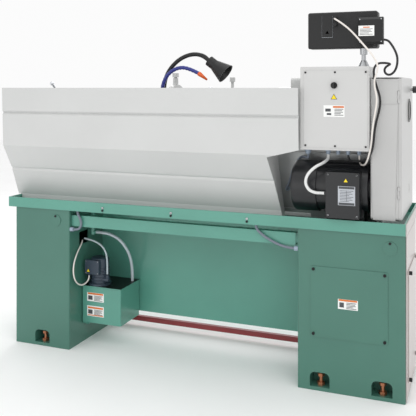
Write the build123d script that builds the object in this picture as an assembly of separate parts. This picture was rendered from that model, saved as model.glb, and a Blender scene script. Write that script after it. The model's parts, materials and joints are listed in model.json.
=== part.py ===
from build123d import *
import math
import os

os.makedirs("parts", exist_ok=True)

# Floor-standing engine lathe on a two-pedestal stand. Millimetres.
# X runs along the spindle, +X to the tailstock; +Y is the rear; +Z is up.
# The origin is the centre of the floor anchor pattern, on the floor.

# Stand
STAND_END = 921.0
STAND_HALF_DEPTH = 205.0
HEAD_PED_INNER = -489.0
TAIL_PED_INNER = 616.0
PED_TOP = 660.0
SHEET = 4.0
BASE_T = 15.0
ANCHOR_X = 800.0
ANCHOR_Y = 165.0
ANCHOR_R = 7.0
LEVELLING_X = (-830.5, -581.0, 767.5)
POCKET_W = 82.0
POCKET_TOP = 75.0

# Chip tray
TRAY_FLOOR = PED_TOP + SHEET
TRAY_TOP = 707.0
TRAY_X0, TRAY_X1 = -922.0, 957.0
TRAY_Y0, TRAY_Y1 = -330.0, 213.0
DRAIN = (580.0, 50.0, 532.0)

# Bed and spindle line
SPINDLE_Y = -80.0
SPINDLE_Z = 1143.0
BED_Y0, BED_Y1 = -175.0, 15.0
BED_X0, BED_X1 = -783.0, 905.0
BED_TOP = 963.0
HEAD_X0, HEAD_X1 = -783.0, -430.0
HEAD_Y0, HEAD_Y1 = -240.0, 90.0
HEAD_TOP = 1283.0
BORE_R = 20.0

# Shafts along the front of the bed
SHAFT_Y = -222.0
LEAD_SCREW_Z = 880.0
FEED_ROD_Z = 845.0
CONTROL_ROD_Z = 810.0

# Motor
MOTOR_Y = 114.0
MOTOR_Z = 828.0
MOTOR_R = 99.0
BOX_Y1 = 244.0

# Cabinet and readout
CAB_X0, CAB_X1 = -783.0, -504.0
CAB_Y0, CAB_Y1 = 100.0, 218.0
CAB_Z0, CAB_Z1 = 987.0, 1326.0
POLE_X, POLE_Y = -751.0, 150.0

# Guard
GUARD_X0, GUARD_X1 = -502.0, 970.0
GUARD_SHEET = 2.0

# Carriage
RUN = 0.05


def block(x0, x1, y0, y1, z0, z1):
    centre = Pos((x0 + x1) / 2, (y0 + y1) / 2, (z0 + z1) / 2)
    return centre * Box(x1 - x0, y1 - y0, z1 - z0)


def rod_x(x0, x1, y, z, r):
    return Pos((x0 + x1) / 2, y, z) * Rot(0, 90, 0) * Cylinder(r, x1 - x0)


def rod_y(x, y0, y1, z, r):
    return Pos(x, (y0 + y1) / 2, z) * Rot(90, 0, 0) * Cylinder(r, y1 - y0)


def rod_z(x, y, z0, z1, r):
    return Pos(x, y, (z0 + z1) / 2) * Cylinder(r, z1 - z0)


def cone_x(x0, x1, y, z, r0, r1):
    return Pos((x0 + x1) / 2, y, z) * Rot(0, 90, 0) * Cone(r0, r1, x1 - x0)


def cone_z(x, y, z0, z1, r0, r1):
    return Pos(x, y, (z0 + z1) / 2) * Cone(r0, r1, z1 - z0)


def prism_x(points, x0, x1):
    """Outline in (y, z), extruded along X."""
    plane = Plane(origin=(x0, 0, 0), x_dir=(0, 1, 0), z_dir=(1, 0, 0))
    return extrude(plane * make_face(Polyline(*points, close=True)), x1 - x0)


def prism_y(points, y0, y1):
    """Outline in (x, z), extruded along Y."""
    plane = Plane(origin=(0, y1, 0), x_dir=(1, 0, 0), z_dir=(0, -1, 0))
    return extrude(plane * make_face(Polyline(*points, close=True)), y1 - y0)


def rounded(shape, axis, radius):
    return fillet(shape.edges().filter_by(axis), radius)


def ball(x, y, z, r):
    return Pos(x, y, z) * Sphere(r)


def socket_screw_y(x, y, z, r, height):
    """Cap screw whose head stands on the plane y and points to +Y."""
    head = rod_y(x, y, y + height, z, r)
    recess = Pos(x, y + height, z) * Rot(90, 0, 0) * extrude(RegularPolygon(r * 0.5, 6), height * 0.5)
    return head - recess


def group(shapes):
    return Compound(children=list(shapes))


def save(node, shape):
    export_step(shape, f"parts/{node}.step")


# ---------------------------------------------------------------- stand

def pocket(x, face_y, inward):
    """Arched pocket cutter through the wall at face_y."""
    y0, y1 = sorted((face_y - inward * 2, face_y + inward * 70))
    low = block(x - POCKET_W / 2, x + POCKET_W / 2, y0, y1, BASE_T, POCKET_TOP - 22)
    arch = block(x - POCKET_W / 2 + 20, x + POCKET_W / 2 - 20, y0, y1, BASE_T, POCKET_TOP)
    corners = [rod_y(x + s * (POCKET_W / 2 - 22), y0, y1, POCKET_TOP - 22, 22) for s in (-1, 1)]
    return low + arch + corners[0] + corners[1]


def pedestal(x0, x1, feet_x):
    d = STAND_HALF_DEPTH
    shell = block(x0, x1, -d, d, 0, PED_TOP)
    shell = rounded(shell, Axis.Z, 6)
    shell -= block(x0 + SHEET, x1 - SHEET, -d + SHEET, d - SHEET, BASE_T, PED_TOP - SHEET)
    for x in feet_x:
        for side in (-1, 1):
            inner = side * (d - 74)
            y0, y1 = sorted((side * (d - SHEET), inner))
            liner = block(x - POCKET_W / 2 - 3, x + POCKET_W / 2 + 3, y0, y1, BASE_T, POCKET_TOP + 3)
            shell += liner
            shell -= pocket(x, side * d, -side)
            shell -= rod_z(x, side * (d - 30), -1, BASE_T + 1, 9)
    return shell


def anchor_holes():
    corners = [(sx, sy) for sx in (-1, 1) for sy in (-1, 1)]
    return [rod_z(sx * ANCHOR_X, sy * ANCHOR_Y, -1, BASE_T + 1, ANCHOR_R) for sx, sy in corners]


REAR_COVER = (-854.0, -544.0, 222.0, 510.0)
DISCS = ((-862.0, 606.0), (691.0, 608.0))
DISC_R = 28.0


def headstock_pedestal():
    shell = pedestal(-STAND_END, HEAD_PED_INNER, LEVELLING_X[:2])
    x0, x1, z0, z1 = REAR_COVER
    d = STAND_HALF_DEPTH
    shell -= block(x0 + 14, x1 - 14, d - 6, d + 1, z0 + 14, z1 - 14)
    shell -= rod_y(DISCS[0][0], d - 6, d + 1, DISCS[0][1], DISC_R - 8)
    shell -= rod_x(HEAD_PED_INNER - 6, HEAD_PED_INNER + 1, *PEDAL_PIVOT, 8 + RUN)
    for hole in anchor_holes():
        shell -= hole
    return shell


def tailstock_pedestal():
    shell = pedestal(TAIL_PED_INNER, STAND_END, LEVELLING_X[2:])
    d = STAND_HALF_DEPTH
    shell -= rod_y(DISCS[1][0], d - 6, d + 1, DISCS[1][1], DISC_R - 8)
    shell -= block(TAIL_PED_INNER - 1, TAIL_PED_INNER + 6, 36, 118, 478, 540)
    shell -= rod_x(TAIL_PED_INNER - 1, TAIL_PED_INNER + 6, *PEDAL_PIVOT, 8 + RUN)
    for hole in anchor_holes():
        shell -= hole
    return shell


def pedestal_covers():
    x0, x1, z0, z1 = REAR_COVER
    d = STAND_HALF_DEPTH
    cover = rounded(block(x0, x1, d, d + 3, z0, z1), Axis.Y, 6)
    discs = [rod_y(x, d, d + 2.5, z, DISC_R) for x, z in DISCS]
    return group([cover] + discs)


def end_panel():
    """Pale sheet that closes the headstock end of the stand and the tray."""
    x = TRAY_X0
    lower = block(x - 3, x, -198, 198, 6, PED_TOP - 4)
    upper = block(x - 3, x, TRAY_Y0 + 3, TRAY_Y1 - 4, PED_TOP - 2, TRAY_TOP - 3)
    door = rounded(block(x - 7, x - 3, -172, 150, 62, 512), Axis.X, 8)
    return group([lower + door, upper])


def levelling_screws():
    parts = []
    for x in LEVELLING_X:
        for side in (-1, 1):
            y = side * (STAND_HALF_DEPTH - 30)
            stem = rod_z(x, y, 2, 52, 8)
            head = Pos(x, y, 52) * extrude(RegularPolygon(15, 6), 12)
            nut = Pos(x, y, BASE_T) * extrude(RegularPolygon(16, 6), 13)
            parts.append(stem + head + nut)
    return group(parts)


def chip_tray():
    pan = block(TRAY_X0, TRAY_X1, TRAY_Y0, TRAY_Y1, PED_TOP, TRAY_TOP)
    pan -= block(TRAY_X0 + 3, TRAY_X1 - 3, TRAY_Y0 + 3, TRAY_Y1 - 3, TRAY_FLOOR, TRAY_TOP + 1)
    hem = block(TRAY_X0, TRAY_X1, TRAY_Y0, TRAY_Y1, TRAY_TOP - 9, TRAY_TOP)
    hem -= block(TRAY_X0 + 6, TRAY_X1 - 6, TRAY_Y0 + 6, TRAY_Y1 - 6, TRAY_TOP - 10, TRAY_TOP + 1)
    drain = rod_z(DRAIN[0], DRAIN[1], DRAIN[2] - 12, TRAY_FLOOR, 11)
    drain += rod_x(DRAIN[0] - 20, DRAIN[0], DRAIN[1], DRAIN[2], 9)
    drain -= rod_z(DRAIN[0], DRAIN[1], DRAIN[2] - 4, TRAY_FLOOR + 1, 7)
    return pan + hem + drain - rod_z(DRAIN[0], DRAIN[1], PED_TOP - 1, TRAY_FLOOR + 1, 7)


def rear_rail():
    """Channel under the tray between the pedestals, open to the front."""
    rail = block(-475, TAIL_PED_INNER, 150, 183, 582, 634)
    rail -= block(-476, TAIL_PED_INNER + 1, 149, 179, 586, 630)
    return rail + block(HEAD_PED_INNER, -474, 176, 179, 596, 620)


def middle_panel():
    sheet = block(HEAD_PED_INNER, TAIL_PED_INNER, -107, -104, 119, PED_TOP)
    flange = block(HEAD_PED_INNER, TAIL_PED_INNER, -129, -107, 119, 122)
    return sheet + flange


# ---------------------------------------------------------------- bed and headstock

def bed():
    front = block(BED_X0, BED_X1, -165, -143, 690, 930)
    rear = block(BED_X0, BED_X1, -17, 5, 690, 930)
    body = front + rear
    body += block(BED_X0, BED_X1, BED_Y0, -115, 925, BED_TOP - 10)
    body += block(BED_X0, BED_X1, -45, BED_Y1, 925, BED_TOP - 10)
    body += block(BED_X0, BED_X1, BED_Y0, -135, 690, 706)
    body += block(BED_X0, BED_X1, -25, BED_Y1, 690, 706)
    for y in (-160, -34):
        ridge = [(y - 14, BED_TOP - 10), (y + 14, BED_TOP - 10), (y + 3, BED_TOP), (y - 3, BED_TOP)]
        body += prism_x(ridge, BED_X0, BED_X1)
    for y0, y1 in ((-136, -120), (-6, 12)):
        body += block(BED_X0, BED_X1, y0, y1, BED_TOP - 11, BED_TOP)
    web_pitch = 186.0
    for i in range(9):
        x = BED_X0 + 100 + i * web_pitch
        body += block(x - 8, x + 8, -144, -16, 700, 915)
    for x0, x1 in ((BED_X0, -500), (700, BED_X1)):
        body += block(x0, x1, BED_Y0, BED_Y1, TRAY_FLOOR, 706)
    bracket = block(872, 900, -245, -164, 790, 925)
    for z, r in ((LEAD_SCREW_Z, 11), (FEED_ROD_Z, 9), (CONTROL_ROD_Z, 9)):
        bracket -= rod_x(871, 901, SHAFT_Y, z, r + RUN)
    return body + bracket


def headstock_casting():
    case = block(HEAD_X0, HEAD_X1, HEAD_Y0, HEAD_Y1, BED_TOP, HEAD_TOP)
    case = rounded(case, Axis.X, 14)
    case -= block(HEAD_X0 + 20, HEAD_X1 - 22, HEAD_Y0 + 16, HEAD_Y1 - 16, BED_TOP + 16, HEAD_TOP - 14)
    for x0, x1 in ((HEAD_X0 - 1, HEAD_X0 + 21), (HEAD_X1 - 23, HEAD_X1 + 1)):
        case -= rod_x(x0, x1, SPINDLE_Y, SPINDLE_Z, 45 + RUN)
    return case - rod_y(-600, HEAD_Y0 - 1, HEAD_Y0 + 17, 1190, 10 + RUN)


def feed_gearbox():
    """Box on the front of the bed under the headstock, with three shaft outlets."""
    box = block(HEAD_X0, -455, -268, BED_Y0, 785, 945)
    box = rounded(box, Axis.X, 8)
    box -= block(HEAD_X0 + 14, -470, -254, BED_Y0 - 14, 799, 931)
    for z, r in ((LEAD_SCREW_Z, 11), (FEED_ROD_Z, 9), (CONTROL_ROD_Z, 9)):
        box -= rod_x(-471, -454, SHAFT_Y, z, r + RUN)
    box -= rod_x(HEAD_X0 - 1, HEAD_X0 + 15, SHAFT_Y, LEAD_SCREW_Z, 11 + RUN)
    return box


END_Y0, END_Y1 = -268.0, 190.0
END_Z0, END_Z1 = 711.0, 1283.0
END_X0 = -893.0
DOOR_X0 = -905.0
REAR_PAD = 4.0
HINGE_X, HINGE_Y, HINGE_R = -893.2, 190.5, 4.0
HINGES = (800.0, 1180.0)
HINGE_LEAF = 16.0
BAR_HOLE_R = 40.0


def end_housing():
    """Box round the belts and change gears, open at the end where the door closes it."""
    inner = HEAD_X0 - 2
    box = block(END_X0, inner, END_Y0, END_Y1, END_Z0, END_Z1)
    box = rounded(box, Axis.X, 16)
    box -= block(END_X0 - 1, inner - 3, END_Y0 + 3, END_Y1 - 3, END_Z0 + 3, END_Z1 - 3)
    box -= rod_x(inner - 4, inner + 1, SPINDLE_Y, SPINDLE_Z, 48)
    box -= rod_x(inner - 4, inner + 1, MOTOR_Y, MOTOR_Z, 26)
    box -= rod_x(inner - 4, inner + 1, SHAFT_Y, LEAD_SCREW_Z, 16)
    face = END_Y1 + REAR_PAD
    pad = prism_y(
        ((inner - 4, 1173), (END_X0 + 2, 1173), (END_X0 + 12, 771), (inner - 6, 771)), END_Y1 - 1, face
    )
    foot = prism_x(((END_Y1 - 1, 771), (face, 771), (END_Y1, END_Z0 + 2), (END_Y1 - 1, END_Z0 + 2)),
                   END_X0 + 12, inner - 8)
    box += pad + foot
    for z in HINGES:
        box -= rod_z(HINGE_X, HINGE_Y, z - 1, z + 3 * HINGE_LEAF + 1, HINGE_R + 1)
        low, high = z + HINGE_LEAF + 0.5, z + 2 * HINGE_LEAF - 0.5
        box += rod_z(HINGE_X, HINGE_Y, low, high, HINGE_R)
        box += block(HINGE_X + 1, END_X0 + 8, END_Y1 - 3, END_Y1, low, high)
    return box


def end_door():
    """Dished door on a vertical hinge at the rear edge, with its latch knob."""
    outer = rounded(block(DOOR_X0, END_X0 - 0.5, END_Y0 + 1, END_Y1, END_Z0, END_Z1), Axis.X, 16)
    outer = chamfer(outer.faces().sort_by(Axis.X)[0].edges(), 5)
    inside = block(DOOR_X0 + 3, END_X0, END_Y0 + 5, END_Y1 - 4, END_Z0 + 4, END_Z1 - 4)
    door = outer - inside
    pull = Pos(DOOR_X0, -105, 805) * Rot(0, 90, 0) * Sphere(24)
    door -= block(DOOR_X0 - 1, DOOR_X0 + 1.5, -120, -90, 790, 825) & pull
    rim = rod_x(DOOR_X0 - 3, DOOR_X0 + 1, SPINDLE_Y, SPINDLE_Z, BAR_HOLE_R + 11)
    door += rim
    door -= rod_x(DOOR_X0 - 4, END_X0, SPINDLE_Y, SPINDLE_Z, BAR_HOLE_R)
    for z in HINGES:
        door -= rod_z(HINGE_X, HINGE_Y, z - 1, z + 3 * HINGE_LEAF + 1, HINGE_R + 1)
        for low in (z, z + 2 * HINGE_LEAF):
            door += rod_z(HINGE_X, HINGE_Y, low, low + HINGE_LEAF, HINGE_R)
            door += block(DOOR_X0 + 3, HINGE_X - 1, END_Y1 - 3, END_Y1, low, low + HINGE_LEAF)
    stem = rod_x(DOOR_X0 - 10, DOOR_X0, -177, 1232, 7)
    knob = rod_x(DOOR_X0 - 26, DOOR_X0 - 10, -177, 1232, 15)
    knob = fillet(knob.edges(), 3)
    return door + stem + knob


# ---------------------------------------------------------------- drive

PULLEY_X0, PULLEY_X1 = -862.0, -812.0
MOTOR_PULLEY_R = 45.0
SPINDLE_PULLEY_R = 80.0


def grooved(x0, x1, y, z, r, grooves=3):
    pulley = rod_x(x0, x1, y, z, r)
    pitch = (x1 - x0) / grooves
    for i in range(grooves):
        mid = x0 + pitch * (i + 0.5)
        ring = rod_x(mid - 5, mid + 5, y, z, r + 1) - rod_x(mid - 6, mid + 6, y, z, r - 10)
        pulley -= ring
    return pulley


def motor_body():
    body = rod_x(-774, -566, MOTOR_Y, MOTOR_Z, MOTOR_R)
    fan = rod_x(-566, -459, MOTOR_Y, MOTOR_Z, MOTOR_R + 7)
    fan = fillet(fan.faces().sort_by(Axis.X)[-1].edges(), 14)
    body += fan
    body += rod_x(-783, -774, MOTOR_Y, MOTOR_Z, 60)
    for x in (-735, -620):
        for y in (MOTOR_Y - 66, MOTOR_Y + 32):
            body += block(x - 18, x + 18, y, y + 22, TRAY_FLOOR, MOTOR_Z - 60)
    body -= rod_x(-784, -750, MOTOR_Y, MOTOR_Z, 14 + RUN)
    return body


def junction_box():
    x0, x1 = -748, -614
    box = block(x0, x1, MOTOR_Y + 60, BOX_Y1, 718, 902)
    box = rounded(box, Axis.Y, 4)
    box -= rod_x(x0 - 1, x1 + 1, MOTOR_Y, MOTOR_Z, MOTOR_R)
    return box + rod_x(x1 - 4, x1 + 8, 229, 814, 8)


def motor_pulley():
    shaft = rod_x(-870, -752, MOTOR_Y, MOTOR_Z, 14)
    return shaft + grooved(PULLEY_X0, PULLEY_X1, MOTOR_Y, MOTOR_Z, MOTOR_PULLEY_R)


def drive_belts():
    """Three V belts, each a closed band round both pulleys."""
    dy = MOTOR_Y - SPINDLE_Y
    dz = MOTOR_Z - SPINDLE_Z
    reach = math.hypot(dy, dz)
    lean = math.degrees(math.atan2(dz, dy))
    pitch = (PULLEY_X1 - PULLEY_X0) / 3
    turn = math.degrees(math.acos((SPINDLE_PULLEY_R - MOTOR_PULLEY_R) / reach))
    belts = []
    for i in range(3):
        mid = PULLEY_X0 + pitch * (i + 0.5)
        loops = []
        for extra in (2.0, -9.4):
            big, small = SPINDLE_PULLEY_R + extra, MOTOR_PULLEY_R + extra
            a = [big * math.cos(math.radians(turn)), big * math.sin(math.radians(turn))]
            b = [reach + small * math.cos(math.radians(turn)), small * math.sin(math.radians(turn))]
            top = Line((a[0], a[1]), (b[0], b[1]))
            nose = ThreePointArc((b[0], b[1]), (reach + small, 0), (b[0], -b[1]))
            under = Line((b[0], -b[1]), (a[0], -a[1]))
            back = ThreePointArc((a[0], -a[1]), (-big, 0), (a[0], a[1]))
            loops.append(make_face([top, nose, under, back]))
        ring = extrude(loops[0] - loops[1], 8)
        plane = Plane(origin=(mid - 4, SPINDLE_Y, SPINDLE_Z), x_dir=(0, 1, 0), z_dir=(1, 0, 0))
        belts.append(plane * (Rot(0, 0, lean) * ring))
    return group(belts)


NOSE_X = -408.0


def spindle():
    shaft = rod_x(-876, NOSE_X - 20, SPINDLE_Y, SPINDLE_Z, 45)
    shaft += grooved(PULLEY_X0, PULLEY_X1, SPINDLE_Y, SPINDLE_Z, SPINDLE_PULLEY_R)
    shaft += rod_x(-640, -600, SPINDLE_Y, SPINDLE_Z, 100)
    shaft += rod_x(-560, -530, SPINDLE_Y, SPINDLE_Z, 78)
    shaft += rod_x(NOSE_X - 20, NOSE_X, SPINDLE_Y, SPINDLE_Z, 72)
    return shaft - rod_x(-877, NOSE_X + 1, SPINDLE_Y, SPINDLE_Z, BORE_R)


def chuck():
    """Three-jaw chuck: the body and three stepped jaws."""
    body = rod_x(NOSE_X, -330, SPINDLE_Y, SPINDLE_Z, 100)
    body = chamfer(body.faces().sort_by(Axis.X)[-1].edges(), 5)
    body -= rod_x(NOSE_X - 1, -329, SPINDLE_Y, SPINDLE_Z, 27)
    jaws = []
    for i in range(3):
        low = block(-352, -312, -12, 12, 30, 92)
        high = block(-312, -286, -12, 12, 30, 58)
        slot = block(-352, -329, -12, 12, 26, 101)
        turned = Pos(0, SPINDLE_Y, SPINDLE_Z) * Rot(120 * i, 0, 0)
        body -= turned * slot
        jaws.append(turned * (low + high))
    return group([body] + jaws)


def lead_screw():
    return rod_x(-800, 898, SHAFT_Y, LEAD_SCREW_Z, 11) + rod_x(-812, -800, SHAFT_Y, LEAD_SCREW_Z, 15)


def feed_rod():
    return rod_x(-469, 898, SHAFT_Y, FEED_ROD_Z, 9)


def control_rod():
    """Spindle control rod with its hand lever beside the feed gearbox."""
    rod = rod_x(-469, 898, SHAFT_Y, CONTROL_ROD_Z, 9)
    hub = rod_x(-446, -418, SHAFT_Y, CONTROL_ROD_Z, 19)
    arm = rod_y(-432, SHAFT_Y - 78, SHAFT_Y, CONTROL_ROD_Z, 7)
    knob = ball(-432, SHAFT_Y - 84, CONTROL_ROD_Z, 15)
    return rod + hub + arm + knob


def speed_lever():
    """Gear lever on the front of the headstock."""
    y = HEAD_Y0
    hub = rod_y(-600, y - 24, y - 0.4, 1190, 26)
    pin = rod_y(-600, y - 1, y + 12, 1190, 10)
    arm = rod_z(-600, y - 14, 1100, 1190, 7)
    knob = ball(-600, y - 14, 1094, 13)
    return hub + pin + arm + knob


# ---------------------------------------------------------------- carriage

CROSS_X = -10.0
CROSS_WHEEL_Z = 984.0
APRON_WHEEL = (-110.0, 868.0)
HALF_NUT = (60.0, 868.0)
SADDLE_TOP = 990.0
BRIDGE_TOP = 1003.0


def hand_wheel(x, y_front, y_back, z, rim_r, shaft_r, shaft_end):
    """Spoked wheel with its axis along Y, a crank grip and a plain shaft."""
    mid = (y_front + y_back) / 2
    rim = Pos(x, mid, z) * Rot(90, 0, 0) * Torus(rim_r - 8, 8)
    hub = rod_y(x, y_front - 4, y_back + 6, z, 18)
    shaft = rod_y(x, y_back, shaft_end, z, shaft_r)
    wheel = rim + hub + shaft
    for i in range(3):
        spoke = Pos(x, mid, z) * Rot(0, 120 * i, 0) * Pos(0, 0, rim_r / 2) * Box(12, 8, rim_r - 18)
        wheel += spoke
    grip = rod_y(x, y_front - 52, mid, z + rim_r - 9, 8)
    return wheel + grip


def saddle():
    body = block(-190, 150, -200, 30, BED_TOP + 0.4, SADDLE_TOP)
    body = rounded(body, Axis.Z, 10)
    body += block(-75, 55, -262, 64, BED_TOP + 0.4, BRIDGE_TOP)
    body += block(-190, 150, -200, BED_Y0 - 1.5, 925, BED_TOP + 1)
    body += block(-190, 150, BED_Y1 + 1.5, 30, 935, BED_TOP + 1)
    body += block(118, 198, 30, 140, BED_TOP + 0.4, 980)
    body -= rod_y(CROSS_X, -263, -246, CROSS_WHEEL_Z, 8 + RUN)
    return body


def apron():
    body = block(-170, 130, -262, -181, 772, 925)
    body = rounded(body, Axis.Y, 8)
    for z, r in ((LEAD_SCREW_Z, 11), (FEED_ROD_Z, 9), (CONTROL_ROD_Z, 9)):
        body -= rod_x(-171, 131, SHAFT_Y, z, r + 0.5)
    for x, z in (APRON_WHEEL, HALF_NUT):
        body -= rod_y(x, -263, -248, z, 9 + RUN)
    return body


def apron_handwheel():
    return hand_wheel(APRON_WHEEL[0], -302, -292, APRON_WHEEL[1], 68, 9, -249)


def half_nut_lever():
    x, z = HALF_NUT
    hub = rod_y(x, -284, -262.4, z, 20)
    pin = rod_y(x, -263, -249, z, 9)
    arm = rod_x(x, x + 86, -274, z, 6)
    return hub + pin + arm + ball(x + 90, -274, z, 11.5)


def cross_slide():
    x0, x1 = CROSS_X - 55, CROSS_X + 55
    body = block(x0, x1, -246, 60, BRIDGE_TOP + 0.4, 1028)
    body = rounded(body, Axis.Z, 5)
    return body + rod_z(CROSS_X, -90, 1028, 1046, 52)


def cross_handwheel():
    return hand_wheel(CROSS_X, -306, -296, CROSS_WHEEL_Z, 52, 8, -247)


COMPOUND_TOP = 1072.0


def compound_slide():
    body = block(-80, 70, -130, -50, 1046.4, COMPOUND_TOP)
    body = rounded(body, Axis.Z, 5)
    body += rod_x(70, 96, -90, 1060, 9)
    wheel = rod_x(96, 104, -90, 1060, 30)
    grip = rod_x(104, 138, -90, 1080, 6)
    return body + wheel + grip + rod_z(CROSS_X, -90, COMPOUND_TOP, 1150, 9)


def tool_post():
    """Four-way square post with a cutting tool clamped on its left side."""
    x0, x1 = CROSS_X - 38, CROSS_X + 38
    body = block(x0, x1, -128, -52, COMPOUND_TOP + 0.4, 1134)
    body -= block(x0 - 1, x1 + 1, -129, -112, 1092, 1112)
    body -= block(x0 - 1, x1 + 1, -68, -51, 1092, 1112)
    body -= block(x0 - 1, x0 + 17, -129, -51, 1092, 1112)
    body -= block(x1 - 17, x1 + 1, -129, -51, 1092, 1112)
    body -= rod_z(CROSS_X, -90, COMPOUND_TOP, 1135, 9 + RUN)
    tool = block(x0 + 2, x0 + 14, -132, -60, 1092, 1106)
    bolts = [rod_z(x0 + 8, y, 1106, 1146, 5) for y in (-118, -90, -64)]
    for bolt in bolts:
        body -= rod_z(x0 + 8, bolt.center().Y, 1105, 1135, 5)
    return group([body, tool] + bolts)


def tool_post_handle():
    x, y = CROSS_X, -90
    hub = cone_z(x, y, 1134.4, 1164, 20, 14) - rod_z(x, y, 1134, 1151, 9 + RUN)
    path = Line((x, y, 1156), (x + 26, y - 10, 1228))
    arm = sweep(Plane(origin=path @ 0, z_dir=path % 0) * Circle(6), path=path)
    return hub + arm + ball(x + 28, y - 11, 1234, 12)


def follow_rest():
    """Open ring on the left wing of the saddle with two brass-tipped fingers."""
    x0, x1 = -114, -90
    ring = rod_x(x0, x1, SPINDLE_Y, SPINDLE_Z, 96) - rod_x(x0 - 1, x1 + 1, SPINDLE_Y, SPINDLE_Z, 70)
    ring -= block(x0 - 1, x1 + 1, -190, SPINDLE_Y - 20, 1040, SPINDLE_Z + 20)
    foot = block(x0 - 8, x1 + 8, -80, 20, SADDLE_TOP, 1006)
    stem = block(x0, x1, -60, 0, 1004, 1075)
    stem -= rod_x(x0 - 1, x1 + 1, SPINDLE_Y, SPINDLE_Z, 71)
    body = ring + foot + stem
    x = (x0 + x1) / 2
    body += rod_z(x, SPINDLE_Y, 1180, 1268, 7) + rod_z(x, SPINDLE_Y, 1268, 1289, 13)
    body += rod_y(x, -44, 44, SPINDLE_Z, 7) + rod_y(x, 44, 62, SPINDLE_Z, 13)
    return body


def steady_rest():
    """Closed ring clamped on the bed, with three fingers and their knobs."""
    x0, x1 = 180, 206
    x = (x0 + x1) / 2
    ring = rod_x(x0, x1, SPINDLE_Y, SPINDLE_Z, 112) - rod_x(x0 - 1, x1 + 1, SPINDLE_Y, SPINDLE_Z, 86)
    foot = block(x0 - 12, x1 + 12, -172, 12, BED_TOP, 984)
    legs = [block(x0, x1, y0, y1, 980, 1060) for y0, y1 in ((-168, -130), (-30, 8))]
    body = ring + foot + legs[0] + legs[1]
    body -= rod_x(x0 - 1, x1 + 1, SPINDLE_Y, SPINDLE_Z, 86)
    for turn in (0, 120, 240):
        place = Pos(x, SPINDLE_Y, SPINDLE_Z) * Rot(turn, 0, 0)
        finger = Pos(0, 0, 102) * Cylinder(8, 104)
        sleeve = Pos(0, 0, 124) * Cylinder(13, 40)
        knob = Pos(0, 0, 158) * Cylinder(16, 20)
        body += place * (finger + sleeve + knob)
    return body


# ---------------------------------------------------------------- tailstock

BARREL_X0, BARREL_X1 = 770.0, 925.0
QUILL_R = 30.0
LOCK_X = 873.0


def tailstock_body():
    base = block(790, 905, -172, 12, BED_TOP + 0.4, 1004)
    base = rounded(base, Axis.Z, 8)
    web = [(-150, 1003), (-10, 1003), (-38, SPINDLE_Z), (-122, SPINDLE_Z)]
    tower = prism_x(web, 800, 895)
    barrel = rod_x(BARREL_X0, BARREL_X1, SPINDLE_Y, SPINDLE_Z, 47)
    body = base + tower + barrel
    body -= rod_x(BARREL_X0 - 1, BARREL_X1 - 12, SPINDLE_Y, SPINDLE_Z, QUILL_R + RUN)
    body -= rod_x(BARREL_X1 - 13, BARREL_X1 + 1, SPINDLE_Y, SPINDLE_Z, 12 + RUN)
    body += rod_z(LOCK_X, SPINDLE_Y, SPINDLE_Z + 40, SPINDLE_Z + 60, 18)
    body -= rod_z(LOCK_X, SPINDLE_Y, SPINDLE_Z + 44, SPINDLE_Z + 61, 8 + RUN)
    return body


def tailstock_quill():
    """Quill with a dead centre in its taper."""
    barrel = rod_x(756, 908, SPINDLE_Y, SPINDLE_Z, QUILL_R)
    barrel -= rod_x(800, 909, SPINDLE_Y, SPINDLE_Z, 14)
    centre = rod_x(742, 756, SPINDLE_Y, SPINDLE_Z, 15)
    return barrel + centre + cone_x(716, 742, SPINDLE_Y, SPINDLE_Z, 0.6, 15)


def tailstock_handwheel():
    y, z = SPINDLE_Y, SPINDLE_Z
    rim = rod_x(937, 951, y, z, 74) - rod_x(936, 952, y, z, 58)
    wheel = rim + rod_x(926, 954, y, z, 20) + rod_x(840, 926, y, z, 12)
    for i in range(3):
        spoke = Pos(944, y, z) * Rot(120 * i, 0, 0) * Pos(0, 0, 37) * Box(8, 12, 56)
        wheel += spoke
    return wheel + rod_x(944, 968, y, z + 66, 6)


def quill_lock_lever():
    z = SPINDLE_Z + 60
    pin = rod_z(LOCK_X, SPINDLE_Y, z - 14, z, 8)
    hub = rod_z(LOCK_X, SPINDLE_Y, z + 0.4, z + 22, 15) + rod_z(LOCK_X, SPINDLE_Y, z - 1, z + 1, 8)
    path = Line((LOCK_X, SPINDLE_Y, z + 14), (LOCK_X + 8, SPINDLE_Y + 34, z + 56))
    arm = sweep(Plane(origin=path @ 0, z_dir=path % 0) * Circle(6), path=path)
    return pin + hub + arm + ball(LOCK_X + 9, SPINDLE_Y + 37, z + 59, 11)


# ---------------------------------------------------------------- guard and cabinet

GUARD_PROFILE = (
    (250, 1240), (246, 1129), (237, 1120), (245, 1111), (240, 960),
    (176, 852), (168, 844), (168, 834), (118, 711), (118, TRAY_FLOOR + 2),
)
CUT_TOP_Z = 950.0
CUT_X = -364.0


def guard_y(z):
    """Rear face of the guard at height z."""
    for (y1, z1), (y0, z0) in zip(GUARD_PROFILE, GUARD_PROFILE[1:]):
        if z0 <= z <= z1:
            return y0 + (y1 - y0) * (z - z0) / (z1 - z0)
    return GUARD_PROFILE[-1][0]


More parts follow.
